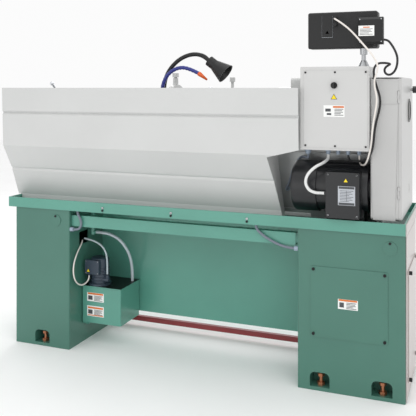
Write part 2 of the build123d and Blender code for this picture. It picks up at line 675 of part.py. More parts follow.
def splash_guard():
    """Folded sheet behind the bed, with a lower corner cut away round the motor."""
    t = GUARD_SHEET
    outer = list(GUARD_PROFILE)
    inner = [(y - t, z) for y, z in reversed(outer)]
    sheet = prism_x(outer + inner, GUARD_X0, GUARD_X1)
    sheet += block(GUARD_X0, GUARD_X1, 226, 250, 1240 - t, 1240)
    sheet += block(GUARD_X0, GUARD_X1, 92, 118, TRAY_FLOOR, TRAY_FLOOR + t)
    end = [(y - 1, z) for y, z in outer] + [(y - 22, z) for y, z in reversed(outer)]
    sheet += prism_x(end, GUARD_X1 - t, GUARD_X1)
    low_x = CUT_X - 37
    corner = ((CUT_X, CUT_TOP_Z), (GUARD_X0 - 2, 985))
    cut = [corner[0], corner[1], (GUARD_X0 - 2, 600), (low_x, 600), (low_x, TRAY_FLOOR)]
    sheet -= prism_y(cut, 60, 300)
    side = [(CUT_X + 1, CUT_TOP_Z + 2), (low_x + 1, TRAY_FLOOR + 1)]
    side += [(low_x + 1 + t, TRAY_FLOOR + 1), (CUT_X + 1 + t, CUT_TOP_Z + 2)]
    below = [(y - 1, z) for y, z in outer if z <= CUT_TOP_Z]
    band = [(guard_y(CUT_TOP_Z) - 1, CUT_TOP_Z)] + below + [(66, TRAY_FLOOR + 2), (66, CUT_TOP_Z)]
    sheet += prism_y(side, 60, 300) & prism_x(band, GUARD_X0, CUT_X + 5)
    roof = [(CUT_X + t, CUT_TOP_Z + 1), (GUARD_X0, 985.5), (GUARD_X0, 985.5 + t)]
    roof += [(CUT_X + t, CUT_TOP_Z + 1 + t)]
    sheet += prism_y(roof, 150, guard_y(950) - 1)
    return sheet - block(TRAY_X1 - 8, GUARD_X1 + 1, 60, 260, 600, TRAY_TOP + 1)


def cabinet():
    """Sheet-metal control cabinet on the back of the headstock."""
    case = block(CAB_X0, CAB_X1, CAB_Y0, CAB_Y1, CAB_Z0, CAB_Z1)
    case = rounded(case, Axis.Y, 4)
    case -= block(CAB_X0 + 2, CAB_X1 - 2, CAB_Y0 + 2, CAB_Y1 - 2, CAB_Z0 + 2, CAB_Z1 - 2)
    case -= block(CAB_X0 + 20, CAB_X1 - 20, CAB_Y1 - 3, CAB_Y1 + 1, CAB_Z0 + 16, CAB_Z1 - 21)
    for x in (CAB_X0 + 30, CAB_X1 - 60):
        case += block(x, x + 30, HEAD_Y1, CAB_Y0, CAB_Z0 + 30, CAB_Z1 - 70)
    return case


def cabinet_cover():
    cover = block(CAB_X0 + 6, CAB_X1 - 15, CAB_Y1, CAB_Y1 + 3, CAB_Z0 + 11, CAB_Z1 - 16)
    cover = rounded(cover, Axis.Y, 5)
    return cover - rod_y(SWITCH[0], CAB_Y1 - 1, CAB_Y1 + 4, SWITCH[1], 6 + RUN)


SWITCH = (-644.0, 1250.0)


def master_switch():
    x, z = SWITCH
    stem = rod_y(x, CAB_Y1 - 12, CAB_Y1 + 4, z, 6)
    disc = rod_y(x, CAB_Y1 + 3.4, CAB_Y1 + 11, z, 13)
    grip = rounded(block(x - 4, x + 4, CAB_Y1 + 10, CAB_Y1 + 26, z - 11, z + 11), Axis.Y, 3)
    return stem + disc + grip


GLANDS = ((-521, 16), (-606, 13), (-647, 11), (-688, 11), (-733, 11))
GLAND_Y = 150.0
GLAND_DROP = 22.0


def cable_glands():
    """Threaded glands in the bottom of the cabinet and on the junction points."""
    parts = []
    for x, r in GLANDS:
        nut = Pos(x, GLAND_Y, CAB_Z0 - 8) * extrude(RegularPolygon(r, 6), 8)
        dome = cone_z(x, GLAND_Y, CAB_Z0 - GLAND_DROP, CAB_Z0 - 8, r * 0.62, r * 0.85)
        parts.append(nut + dome)
    left_wall = rod_x(TAIL_PED_INNER - 16, TAIL_PED_INNER, 193, 569, 10)
    right_wall = rod_x(HEAD_PED_INNER, HEAD_PED_INNER + 16, 193, 572, 10)
    bed_side = rod_y(-396, 5, 20, 792, 10)
    return group(parts + [left_wall, right_wall, bed_side])


# ---------------------------------------------------------------- readout

RD_X0, RD_X1 = -809.0, -525.0
RD_Z0, RD_Z1 = 1401.0, 1551.0
RD_Y0, RD_Y1 = 112.0, 172.0


def readout_pole():
    """Post with a conical foot on the cabinet roof and a clamp knuckle at the top."""
    foot = cone_z(POLE_X, POLE_Y, CAB_Z1, CAB_Z1 + 26, 24, 11)
    post = rod_z(POLE_X, POLE_Y, CAB_Z1 + 20, RD_Z0 - 1, 9)
    knuckle = rod_z(POLE_X, POLE_Y, RD_Z0 - 26, RD_Z0 - 0.5, 15)
    pin = rod_z(POLE_X, POLE_Y, RD_Z0 - 1, RD_Z0 + 20, 7)
    return foot + post + knuckle + pin


def readout_housing():
    body = block(RD_X0, RD_X1, RD_Y0, RD_Y1, RD_Z0, RD_Z1)
    body = rounded(body, Axis.Y, 8)
    body = chamfer(body.faces().sort_by(Axis.Y)[-1].edges(), 4)
    body -= block(RD_X0 + 14, RD_X1 - 14, RD_Y0 - 1, RD_Y0 + 4, RD_Z0 + 14, RD_Z1 - 14)
    body -= rod_z(POLE_X, POLE_Y, RD_Z0 - 1, RD_Z0 + 21, 7 + RUN)
    power = block(-834, -736, 166, 206, 1414, 1523)
    power = chamfer(power.faces().sort_by(Axis.Y)[-1].edges(), 10)
    plate = block(-628, -584, RD_Y1, RD_Y1 + 2, 1448, 1538)
    body = body + power + plate
    for z in (1522, 1499):
        body += rod_y(-640, RD_Y1, RD_Y1 + 16, z, 8)
    return body + rod_z(-800, 190, 1405, 1416, 7)


# ---------------------------------------------------------------- lamp and coolant

def bent_tube(points, r, wall=0.0):
    """Straight runs joined by the largest tangent arcs that the runs allow."""
    path = [Vector(*p) for p in points]
    radii = []
    for a, b, c in zip(path, path[1:], path[2:]):
        turn = math.radians((b - a).get_angle(c - b))
        radii.append(0.45 * min((b - a).length, (c - b).length) / math.tan(turn / 2))
    wire = FilletPolyline(*path, radius=radii)
    start = Plane(origin=path[0], z_dir=path[1] - path[0])
    tube = sweep(start * Circle(r), path=wire)
    ratio = tube.volume / (math.pi * r * r * wire.length)
    print(f"r {r}: length {wire.length:.0f}, volume ratio {ratio:.4f}, least radius {min(radii):.0f}")
    return tube


LAMP_Y = 96.0
COOLANT_Y = 120.0


def work_lamp():
    """Gooseneck lamp standing on the saddle's rear bracket."""
    xz = ((172, 981), (175, 1110), (173, 1240), (164, 1290), (136, 1336), (87, 1377),
          (26, 1396), (-27, 1386), (-54, 1361))
    neck = bent_tube([(x, LAMP_Y, z) for x, z in xz], 9)
    base = rod_z(172, LAMP_Y, 981, 999, 12.5)
    aim = Plane(origin=(-54, LAMP_Y, 1361), z_dir=(-88, 0, -65))
    cap = aim * Pos(0, 0, 16) * Cylinder(24, 36)
    bell = aim * Pos(0, 0, 66) * (Cone(26, 46, 64) - Pos(0, 0, 6) * Cone(23, 44, 60))
    return neck + base + cap + bell


def coolant_arm():
    """Segmented coolant hose with its valve base and nozzle."""
    xz = ((176, 981), (179, 1090), (177, 1195), (166, 1262), (144, 1300), (111, 1324),
          (72, 1334), (30, 1325), (-10, 1306))
    hose = bent_tube([(x, COOLANT_Y, z) for x, z in xz], 8)
    base = rod_z(176, COOLANT_Y, 981, 1005, 11)
    aim = Plane(origin=(-10, COOLANT_Y, 1306), z_dir=(-45, 0, -32))
    nozzle = aim * Pos(0, 0, 25) * Cone(9, 3.5, 50)
    return hose + base + nozzle


TANK = (401.0, 614.0, -98.0, 95.0, 101.0, 274.0)


def coolant_tank():
    """Tank on two arms from the tailstock pedestal, with its lid plate."""
    x0, x1, y0, y1, z0, z1 = TANK
    tank = rounded(block(x0, x1, y0, y1, z0, z1), Axis.Z, 6)
    tank -= block(x0 + 2, x1 - 2, y0 + 2, y1 - 2, z0 + 2, z1 + 1)
    lid = block(x0 - 4, x1, y0 - 4, y1 + 4, z1, z1 + 4)
    arms = [block(x1 - 30, TAIL_PED_INNER, y, y + 12, z0 - 14, z0) for y in (-90, 68)]
    return group([tank + arms[0] + arms[1], lid])


def coolant_pump():
    x, y, z = 545, 40, TANK[5] + 4
    flange = rod_z(x, y, z, z + 10, 56)
    motor = rod_z(x, y, z + 8, z + 132, 44)
    motor = fillet(motor.faces().sort_by(Axis.Z)[-1].edges(), 10)
    box = rounded(block(x - 26, x + 50, y + 30, y + 60, z + 58, z + 126), Axis.Y, 4)
    outlet = rod_x(x - 62, x - 30, y + 20, z + 28, 12) + rod_z(x - 51, y + 20, z + 28, z + 52, 9)
    gland = rod_z(x + 34, y + 48, z + 50, z + 59, 7)
    return flange + motor + box + outlet + gland


PEDAL_PIVOT = (-150.0, 112.0)


def foot_brake():
    """Brake treadle along the front, on two arms that swing on pins in the pedestals."""
    y, z = PEDAL_PIVOT
    x0, x1 = HEAD_PED_INNER + 6, TAIL_PED_INNER - 6
    bar = rounded(block(x0, x1, -235, -207, 27, 52), Axis.X, 5)
    body = bar
    for x in (x0, x1 - 8):
        arm = [(-214, 30), (-228, 52), (y - 14, z + 6), (y + 14, z - 6)]
        body += prism_x(arm, x, x + 8) + rod_x(x, x + 8, y, z, 16)
    for a, b in ((x0 - 14, x0 + 1), (x1 - 1, x1 + 14)):
        body += rod_x(a, b, y, z, 8)
    return body


# ---------------------------------------------------------------- hoses and cables

MOTOR_CONDUIT = (
    (-606, 150, 965), (-606, 150, 950), (-603, 162, 941), (-594, 202, 932), (-570, 234, 920),
    (-542, 250, 892), (-532, 256, 857), (-546, 252, 827), (-570, 240, 815), (-591, 229, 814),
    (-606, 229, 814),
)
HEADSTOCK_CONDUIT = (
    (-521, 150, 965), (-521, 150, 952), (-516, 140, 944), (-500, 104, 945), (-472, 70, 943),
    (-447, 57, 918), (-429, 51, 880), (-418, 48, 842), (-406, 48, 812), (-396, 40, 792),
    (-396, 20, 792),
)
READOUT_CABLE = (
    (-640, 188, 1522), (-640, 200, 1522), (-652, 216, 1515), (-678, 228, 1498), (-712, 233, 1470),
    (-744, 237, 1434), (-775, 241, 1398), (-802, 246, 1366), (-822, 248, 1328), (-816, 246, 1298),
    (-806, 240, 1271), (-806, 234, 1244), (-813, 230, 1212), (-814, 229, 1181), (-808, 229, 1145),
    (-801, 229, 1106), (-796, 229, 1066), (-793, 228, 1026), (-788, 225, 994), (-779, 219, 962),
    (-767, 200, 936), (-749, 172, 924), (-735, 153, 934), (-733, 150, 950), (-733, 150, 965),
)
POWER_CABLE = (
    (-836, 188, 1432), (-850, 188, 1431), (-864, 190, 1415), (-879, 192, 1390), (-889, 194, 1363),
    (-889, 195, 1334), (-881, 195, 1308), (-865, 195, 1292), (-848, 195, 1292), (-838, 195, 1306),
    (-842, 197, 1321), (-855, 203, 1329), (-865, 216, 1333), (-859, 229, 1336), (-841, 234, 1338),
    (-821, 233, 1337), (-807, 230, 1326), (-801, 226, 1307), (-803, 221, 1279), (-812, 217, 1244),
    (-823, 214, 1210), (-826, 213, 1180), (-820, 212, 1145), (-809, 212, 1105), (-802, 212, 1061),
    (-799, 212, 1021), (-792, 209, 987), (-776, 200, 960), (-753, 184, 945), (-700, 158, 938),
    (-688, 150, 951), (-688, 150, 965),
)
PUMP_CABLE = (
    (579, 88, 328), (579, 88, 313), (584, 100, 296), (592, 126, 287), (598, 158, 300),
    (600, 184, 328), (602, 193, 364), (603, 187, 402), (603, 168, 435), (604, 142, 462),
    (604, 112, 486), (612, 96, 497),
)
FEED_HOSE = (
    (494, 60, 334), (494, 60, 366), (495, 60, 404), (502, 59, 440), (524, 58, 468),
    (554, 61, 486), (584, 68, 496), (612, 78, 503),
)
RETURN_HOSE = (
    (420, -60, 278), (420, -60, 320), (413, -34, 388), (418, 0, 450), (442, 28, 500),
    (484, 44, 526), (524, 50, 532), (560, 50, 532),
)
TRAY_CONDUIT_LEFT = (
    (578, 193, 660), (578, 193, 645), (565, 193, 626), (556, 193, 600), (564, 193, 577),
    (583, 193, 569), (600, 193, 569),
)
TRAY_CONDUIT_RIGHT = (
    (-305, 193, 660), (-305, 193, 646), (-318, 193, 629), (-343, 193, 611), (-376, 193, 594),
    (-413, 193, 579), (-450, 193, 572), (-473, 193, 572),
)
CORDS = {
    "motor_conduit": (MOTOR_CONDUIT, 6.5),
    "headstock_conduit": (HEADSTOCK_CONDUIT, 6.0),
    "readout_cable": (READOUT_CABLE, 3.5),
    "readout_power_cable": (POWER_CABLE, 4.5),
    "pump_cable": (PUMP_CABLE, 3.5),
    "coolant_feed_hose": (FEED_HOSE, 4.5),
    "coolant_return_hose": (RETURN_HOSE, 7.5),
    "tray_conduit_left": (TRAY_CONDUIT_LEFT, 6.0),
    "tray_conduit_right": (TRAY_CONDUIT_RIGHT, 6.0),
}


def cover_screws():
    """Dark cap screws of the covers, guard, cabinet and tray, one group."""
    heads = []
    x0, x1, z0, z1 = REAR_COVER
    d = STAND_HALF_DEPTH
    for x in (x0 + 12, x1 - 12):
        for z in (z0 + 12, z1 - 12):
            heads.append(socket_screw_y(x, d + 3, z, 6, 5))
    for x, z in DISCS:
        heads.append(socket_screw_y(x, d + 2.5, z + 20, 5, 4))
    for x in (431, 84, -271):
        heads.append(socket_screw_y(x, TRAY_Y1, 672, 5, 4))
    for x in (CAB_X0 + 13, (CAB_X0 + CAB_X1) / 2 - 4, CAB_X1 - 22):
        for z in (CAB_Z0 + 18, CAB_Z1 - 23):
            heads.append(socket_screw_y(x, CAB_Y1 + 3, z, 4, 3))
    for x in (-740, -622):
        for z in (726, 894):
            heads.append(socket_screw_y(x, BOX_Y1, z, 4, 3))
    end_x = TRAY_X0 - 7
    for y, z in ((-160, 74), (138, 74), (-160, 500), (138, 500)):
        knob = rod_x(end_x - 12, end_x, y, z, 8)
        heads.append(fillet(knob.edges(), 2))
    return group(heads)


NODES = (
    headstock_pedestal, tailstock_pedestal, pedestal_covers, end_panel, levelling_screws,
    chip_tray, rear_rail, middle_panel, bed, headstock_casting, feed_gearbox, end_housing,
    end_door, motor_body, junction_box, motor_pulley, drive_belts, spindle, chuck, lead_screw,
    feed_rod, control_rod, speed_lever, saddle, apron, apron_handwheel, half_nut_lever,
    cross_slide, cross_handwheel, compound_slide, tool_post, tool_post_handle, follow_rest,
    steady_rest, tailstock_body, tailstock_quill, tailstock_handwheel, quill_lock_lever,
    splash_guard, cabinet, cabinet_cover, master_switch, cable_glands, readout_pole,
    readout_housing, work_lamp, coolant_arm, coolant_tank, coolant_pump, foot_brake, cover_screws,
)

for make in NODES:
    save(make.__name__, make())

for name, (route, radius) in CORDS.items():
    print(name)
    save(name, bent_tube(route, radius))
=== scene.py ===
import json
import math
import bmesh
import bpy
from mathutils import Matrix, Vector


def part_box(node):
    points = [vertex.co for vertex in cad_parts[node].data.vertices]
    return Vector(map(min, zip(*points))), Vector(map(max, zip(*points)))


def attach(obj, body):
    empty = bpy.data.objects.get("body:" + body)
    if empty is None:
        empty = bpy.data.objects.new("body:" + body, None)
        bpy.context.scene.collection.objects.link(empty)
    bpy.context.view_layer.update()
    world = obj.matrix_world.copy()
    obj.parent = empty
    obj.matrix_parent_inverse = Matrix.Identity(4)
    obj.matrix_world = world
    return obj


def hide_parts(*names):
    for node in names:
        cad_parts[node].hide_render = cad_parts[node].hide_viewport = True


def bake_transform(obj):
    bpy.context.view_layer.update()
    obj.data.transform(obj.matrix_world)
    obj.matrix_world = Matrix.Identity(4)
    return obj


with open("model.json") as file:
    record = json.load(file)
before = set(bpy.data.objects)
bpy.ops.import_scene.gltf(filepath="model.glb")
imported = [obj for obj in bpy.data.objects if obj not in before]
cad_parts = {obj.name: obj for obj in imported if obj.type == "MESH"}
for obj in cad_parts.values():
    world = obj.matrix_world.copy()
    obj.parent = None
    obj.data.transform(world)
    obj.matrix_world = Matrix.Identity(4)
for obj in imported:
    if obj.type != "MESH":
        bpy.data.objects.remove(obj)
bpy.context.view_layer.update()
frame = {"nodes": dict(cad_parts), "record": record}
MM = 0.001


def metres(point):
    """A place in the CAD's millimetres, in metres."""
    return tuple(c * MM for c in point)


def rear_of(node):
    """Y of a CAD node's rearmost face, in mm."""
    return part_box(node)[1].y / MM


def front_of(node):
    """Y of a CAD node's front face, in mm."""
    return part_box(node)[0].y / MM


# ---------------------------------------------------------------- camera, light, floor

CAMERA_PLACE = (-1.195, 2.994, 1.242)
CAMERA_YAW = 0.3772
LENS = 59.62
LENS_SHIFT = -0.290
FAR_CLIP = 50
FLOOR_RADIUS = 14
FLOOR_SIDES = 96
FLOOR_Z = -0.0005
WORLD_STRENGTH = 0.97


def add_camera():
    """Level camera behind the machine; the photo's verticals are parallel, so a shift frames it."""
    data = bpy.data.cameras.new("camera")
    data.lens = LENS
    data.sensor_width = 36
    data.shift_y = LENS_SHIFT
    data.clip_end = FAR_CLIP
    cam = bpy.data.objects.new("camera", data)
    bpy.context.collection.objects.link(cam)
    look = Vector((math.sin(CAMERA_YAW), -math.cos(CAMERA_YAW), 0))
    cam.location = CAMERA_PLACE
    cam.rotation_euler = look.to_track_quat("-Z", "Y").to_euler()
    bpy.context.scene.camera = cam


def add_area(name, place, target, size, power):
    """Square white area light aimed at a target."""
    data = bpy.data.lights.new(name, "AREA")
    data.energy = power
    data.size = size
    light = bpy.data.objects.new(name, data)
    light.location = place
    light.rotation_euler = (Vector(target) - Vector(place)).to_track_quat("-Z", "Y").to_euler()
    bpy.context.collection.objects.link(light)


def add_studio():
    """Four soft lights and a white world."""
    add_area("key", (-3.0, 3.9, 3.4), (0, 0, 0.8), 2.4, 34)
    add_area("low_fill", (1.6, 4.6, 0.9), (0, 0, 0.6), 3.0, 20)
    add_area("front", (1.2, -3.6, 3.2), (0, 0, 0.9), 2.4, 34)
    add_area("top", (0, 0.4, 4.2), (0, 0, 0), 3.2, 24)
    world = bpy.data.worlds.new("studio")
    world.use_nodes = True
    back = world.node_tree.nodes["Background"]
    back.inputs["Color"].default_value = (1, 1, 1, 1)
    back.inputs["Strength"].default_value = WORLD_STRENGTH
    bpy.context.scene.world = world
    bpy.context.scene.view_settings.view_transform = "Standard"


def add_floor():
    """Plain pale round floor."""
    bm = bmesh.new()
    turns = [2 * math.pi * k / FLOOR_SIDES for k in range(FLOOR_SIDES)]
    rim = [(FLOOR_RADIUS * math.cos(a), FLOOR_RADIUS * math.sin(a), FLOOR_Z) for a in turns]
    bm.faces.new([bm.verts.new(corner) for corner in rim])
    mesh = bpy.data.meshes.new("floor")
    bm.to_mesh(mesh)
    bm.free()
    mesh.materials.append(MATS["floor_pale"])
    floor = bpy.data.objects.new("floor", mesh)
    bpy.context.collection.objects.link(floor)


# ---------------------------------------------------------------- materials

BROAD_SCALE = 3.2           # patches that vary the colour and the roughness
SPOT_SCALE = 38             # specks of dirt
SPOT_FROM, SPOT_TO = 0.62, 0.80
DIRT_SHADE = 0.45
COAT_ROUGHNESS = 0.12
BUMP_DEPTH = 0.001


def srgb(r, g, b):
    """Linear colour, with full alpha, of an sRGB colour given in 0 to 255."""
    shares = [c / 255 for c in (r, g, b)]
    return tuple(c / 12.92 if c <= 10 / 255 else ((c + 0.055) / 1.055) ** 2.4 for c in shares) + (1,)


def add_noise(nodes, links, vector, scale, detail):
    """Noise texture laid out by a vector."""
    noise = nodes.new("ShaderNodeTexNoise")
    noise.inputs["Scale"].default_value = scale
    noise.inputs["Detail"].default_value = detail
    links.new(vector, noise.inputs["Vector"])
    return noise


def finish(name, rgb, rough, metal=0.0, grain=400.0, bump=0.04, shade=0.06, coat=0.0,
           stretch=(1, 1, 1), dirt=0.0):
    """Principled surface with fine bump, uneven roughness and colour, and specks of dirt if asked."""
    mat = bpy.data.materials.new(name)
    mat.use_nodes = True
    nodes, links = mat.node_tree.nodes, mat.node_tree.links
    bsdf = nodes["Principled BSDF"]
    bsdf.inputs["Metallic"].default_value = metal
    bsdf.inputs["Coat Weight"].default_value = coat
    bsdf.inputs["Coat Roughness"].default_value = COAT_ROUGHNESS
    coord = nodes.new("ShaderNodeTexCoord")
    scale = nodes.new("ShaderNodeMapping")
    scale.inputs["Scale"].default_value = stretch
    links.new(coord.outputs["Object"], scale.inputs["Vector"])
    fine = add_noise(nodes, links, scale.outputs["Vector"], grain, 3)
    broad = add_noise(nodes, links, scale.outputs["Vector"], BROAD_SCALE, 5)
    ramp = nodes.new("ShaderNodeValToRGB")
    base = srgb(*rgb)
    ramp.color_ramp.elements[0].position = 0.3
    ramp.color_ramp.elements[1].position = 0.7
    ramp.color_ramp.elements[0].color = [c * (1 - shade) for c in base[:3]] + [1]
    ramp.color_ramp.elements[1].color = [min(1, c * (1 + shade)) for c in base[:3]] + [1]
    links.new(broad.outputs["Fac"], ramp.inputs["Fac"])
    colour = ramp.outputs["Color"]
    if dirt:
        spots = add_noise(nodes, links, coord.outputs["Object"], SPOT_SCALE, 8)
        cut = nodes.new("ShaderNodeMapRange")
        cut.inputs["From Min"].default_value = SPOT_FROM
        cut.inputs["From Max"].default_value = SPOT_TO
        cut.inputs["To Max"].default_value = dirt
        links.new(spots.outputs["Fac"], cut.inputs["Value"])
        mix = nodes.new("ShaderNodeMix")
        mix.data_type = "RGBA"
        links.new(cut.outputs["Result"], mix.inputs["Factor"])
        links.new(colour, mix.inputs["A"])
        mix.inputs["B"].default_value = [c * DIRT_SHADE for c in base[:3]] + [1]
        colour = mix.outputs["Result"]
    links.new(colour, bsdf.inputs["Base Color"])
    rub = nodes.new("ShaderNodeMapRange")
    rub.inputs["To Min"].default_value = max(0.03, rough - 0.07)
    rub.inputs["To Max"].default_value = min(1, rough + 0.09)
    links.new(broad.outputs["Fac"], rub.inputs["Value"])
    links.new(rub.outputs["Result"], bsdf.inputs["Roughness"])
    peel = nodes.new("ShaderNodeBump")
    peel.inputs["Strength"].default_value = bump
    peel.inputs["Distance"].default_value = BUMP_DEPTH
    links.new(fine.outputs["Fac"], peel.inputs["Height"])
    links.new(peel.outputs["Normal"], bsdf.inputs["Normal"])
    return mat


PAINTS = {
    "stand_green": dict(rgb=(66, 115, 101), rough=0.34, bump=0.10, grain=260, coat=0.25, dirt=0.05),
    "panel_green": dict(rgb=(88, 151, 135), rough=0.33, bump=0.10, grain=260, coat=0.25, dirt=0.04),
    # end_pale is a painted reflection: the green end faces of the pedestal and tray are painted pale
    # off-white, standing for the white studio glancing off their glossy paint
    "end_pale": dict(rgb=(182, 173, 170), rough=0.36, bump=0.08, grain=260, coat=0.2),
    "light_grey": dict(rgb=(199, 200, 199), rough=0.38, bump=0.07, grain=240, coat=0.15, shade=0.025),
    "cabinet_white": dict(rgb=(198, 198, 197), rough=0.42, bump=0.10, grain=520, coat=0.1, shade=0.02),
    "end_grey": dict(rgb=(184, 184, 183), rough=0.36, bump=0.07, grain=240, coat=0.15, shade=0.03),
    "motor_black": dict(rgb=(13, 15, 19), rough=0.40, bump=0.12, grain=300, coat=0.2),
    "pump_blue": dict(rgb=(50, 62, 76), rough=0.42, bump=0.12, grain=300, coat=0.1),
    "brake_red": dict(rgb=(140, 42, 46), rough=0.36, bump=0.08, grain=260, coat=0.2, dirt=0.08),
    "bed_iron": dict(rgb=(150, 152, 152), rough=0.30, metal=0.75, bump=0.06, grain=160, stretch=(0.05, 1, 1)),
    "steel": dict(rgb=(176, 178, 180), rough=0.27, metal=1.0, bump=0.05, grain=700, stretch=(0.08, 1, 1)),
    "chrome": dict(rgb=(214, 216, 220), rough=0.10, metal=1.0, bump=0.01, grain=90, shade=0.02),
    "copper_steel": dict(rgb=(176, 118, 88), rough=0.38, metal=0.85, bump=0.08, grain=500),
    "black_screws": dict(rgb=(26, 27, 28), rough=0.42, metal=0.3, bump=0.06, grain=900),
    "black_plastic": dict(rgb=(12, 13, 14), rough=0.46, bump=0.22, grain=1100),
    "belt_rubber": dict(rgb=(24, 24, 25), rough=0.75, bump=0.2, grain=800),
    "cable_white": dict(rgb=(226, 220, 214), rough=0.45, bump=0.03, grain=500),
    "conduit_grey": dict(rgb=(116, 124, 136), rough=0.46, bump=0.05, grain=500),
    "conduit_white": dict(rgb=(226, 227, 226), rough=0.42, bump=0.03, grain=500),
    "cable_black": dict(rgb=(24, 24, 26), rough=0.5, bump=0.05, grain=500),
    "hose_clear": dict(rgb=(186, 198, 204), rough=0.22, bump=0.02, grain=120, coat=0.4),
    "gland_grey": dict(rgb=(150, 164, 180), rough=0.40, bump=0.05, grain=600),
    "hose_blue": dict(rgb=(34, 44, 128), rough=0.32, bump=0.04, grain=300, coat=0.2),
    "nozzle_orange": dict(rgb=(226, 98, 34), rough=0.34, bump=0.03, grain=300),
    "label_white": dict(rgb=(236, 237, 235), rough=0.42, bump=0.01, grain=900, shade=0.02),
    "label_orange": dict(rgb=(214, 112, 40), rough=0.42, bump=0.01, grain=900),
    "label_grey": dict(rgb=(70, 72, 76), rough=0.45, bump=0.01, grain=900),
    "label_yellow": dict(rgb=(244, 216, 30), rough=0.40, bump=0.01, grain=900, shade=0.02),
    "plate_silver": dict(rgb=(186, 190, 196), rough=0.34, metal=0.8, bump=0.04, grain=700),
    "screen": dict(rgb=(16, 20, 26), rough=0.12, bump=0.005, grain=90, coat=0.6),
    "digit_green": dict(rgb=(120, 226, 140), rough=0.4, bump=0.01, grain=500),
    "black_knob": dict(rgb=(22, 22, 24), rough=0.30, bump=0.04, grain=400, coat=0.3),
    "floor_pale": dict(rgb=(250, 250, 250), rough=0.8, bump=0.02, grain=60, shade=0.01),
}
MATS = {name: finish(name, **facts) for name, facts in PAINTS.items()}


def dress_cad_nodes():
    """Gives every CAD node the finish of its slot."""
    for row in frame["record"]["subparts"]:
        obj = frame["nodes"][row["node"]]
        obj.data.materials.clear()
        obj.data.materials.append(MATS[row["material_slot"]])


# ---------------------------------------------------------------- mesh helpers

def as_piece(name, mesh_or_bm, slot, body="root", smooth=True, bevel=0.0, paint=None):
    """Makes an object of a mesh, gives it its finish and lets it ride on a body."""
    if isinstance(mesh_or_bm, bmesh.types.BMesh):
        mesh = bpy.data.meshes.new(name)
        bmesh.ops.recalc_face_normals(mesh_or_bm, faces=mesh_or_bm.faces)
        mesh_or_bm.to_mesh(mesh)
        mesh_or_bm.free()
    else:
        mesh = mesh_or_bm
    obj = bpy.data.objects.new(name, mesh)
    bpy.context.collection.objects.link(obj)
    mesh.materials.append(MATS[paint or slot])
    if smooth:
        mesh.shade_smooth()
    if bevel:
        mod = obj.modifiers.new("edges", "BEVEL")
        mod.width = bevel
        mod.segments = 3
        mod.limit_method = "ANGLE"
        mod.harden_normals = True
    if body:
        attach(obj, body)
    return obj


def add_box(bm, lo, hi):
    """Box between two corners."""
    corners = [Vector((x, y, z)) for x in (lo[0], hi[0]) for y in (lo[1], hi[1]) for z in (lo[2], hi[2])]
    v = [bm.verts.new(c) for c in corners]
    for face in ((0, 1, 3, 2), (4, 6, 7, 5), (0, 4, 5, 1), (2, 3, 7, 6), (0, 2, 6, 4), (1, 5, 7, 3)):
        bm.faces.new([v[i] for i in face])


def add_lathe(bm, centre, axis, profile, sides=32):
    """Solid of revolution: profile is (distance along the axis, radius) pairs."""
    axis = Vector(axis).normalized()
    side = axis.orthogonal().normalized()
    up = axis.cross(side)
    rings = []
    for along, radius in profile:
        middle = Vector(centre) + axis * along
        turns = [2 * math.pi * i / sides for i in range(sides)]
        rings.append([bm.verts.new(middle + (side * math.cos(a) + up * math.sin(a)) * radius) for a in turns])
    for lower, upper in zip(rings, rings[1:]):
        for i in range(sides):
            j = (i + 1) % sides
            bm.faces.new((lower[i], lower[j], upper[j], upper[i]))
    bm.faces.new(rings[0][::-1])
    bm.faces.new(rings[-1])


def add_dome(bm, centre, axis, radius, height, sides=20):
    """Rounded cap standing on its round base."""
    profile = [(0, radius)]
    profile += [(height * math.sin(t * math.pi / 8), radius * math.cos(t * math.pi / 8)) for t in (1, 2, 3)]
    profile += [(height, radius * 0.08)]
    add_lathe(bm, centre, axis, profile, sides)


def add_plate(bm, centre, across, up, normal, width, height, thick):
    """Thin plate standing on a surface; the bevel of the piece rounds it."""
    a, u, n = Vector(across), Vector(up), Vector(normal)
    v = []
    for d in (0, thick):
        for sx, sz in ((-1, -1), (1, -1), (1, 1), (-1, 1)):
            v.append(bm.verts.new(Vector(centre) + a * sx * width / 2 + u * sz * height / 2 + n * d))
    for face in ((3, 2, 1, 0), (4, 5, 6, 7), (0, 1, 5, 4), (1, 2, 6, 5), (2, 3, 7, 6), (3, 0, 4, 7)):
        bm.faces.new([v[i] for i in face])


def curve_line(name, points):
    """Smooth NURBS spline whose control points are the route."""
    data = bpy.data.curves.new(name, "CURVE")
    data.dimensions = "3D"
    data.resolution_u = 10
    spline = data.splines.new("NURBS")
    spline.points.add(len(points) - 1)
    for point, place in zip(spline.points, points):
        point.co = (*[c * MM for c in place], 1)
    spline.order_u = 3
    spline.use_endpoint_u = True
    return data


def centreline(name, points):
    """Points along the route's spline."""
    data = curve_line(name + "_line", points)
    temp = bpy.data.objects.new(name + "_line", data)
    mesh = bpy.data.meshes.new_from_object(temp)
    line = [v.co.copy() for v in mesh.vertices]
    bpy.data.objects.remove(temp)
    bpy.data.meshes.remove(mesh)
    bpy.data.curves.remove(data)
    return line


def run_length(line):
    """Length along the points of a line."""
    return sum((b - a).length for a, b in zip(line, line[1:]))


def evenly(line, step):
    """The same line with points a step apart."""
    total = run_length(line)
    count = max(2, round(total / step))
    out, i, walked = [], 0, 0.0
    for k in range(count + 1):
        want = total * k / count
        while i < len(line) - 2 and walked + (line[i + 1] - line[i]).length < want:
            walked += (line[i + 1] - line[i]).length
            i += 1
        seg = (line[i + 1] - line[i]).length
        out.append(line[i].lerp(line[i + 1], 0 if seg == 0 else min(1, (want - walked) / seg)))
    return out


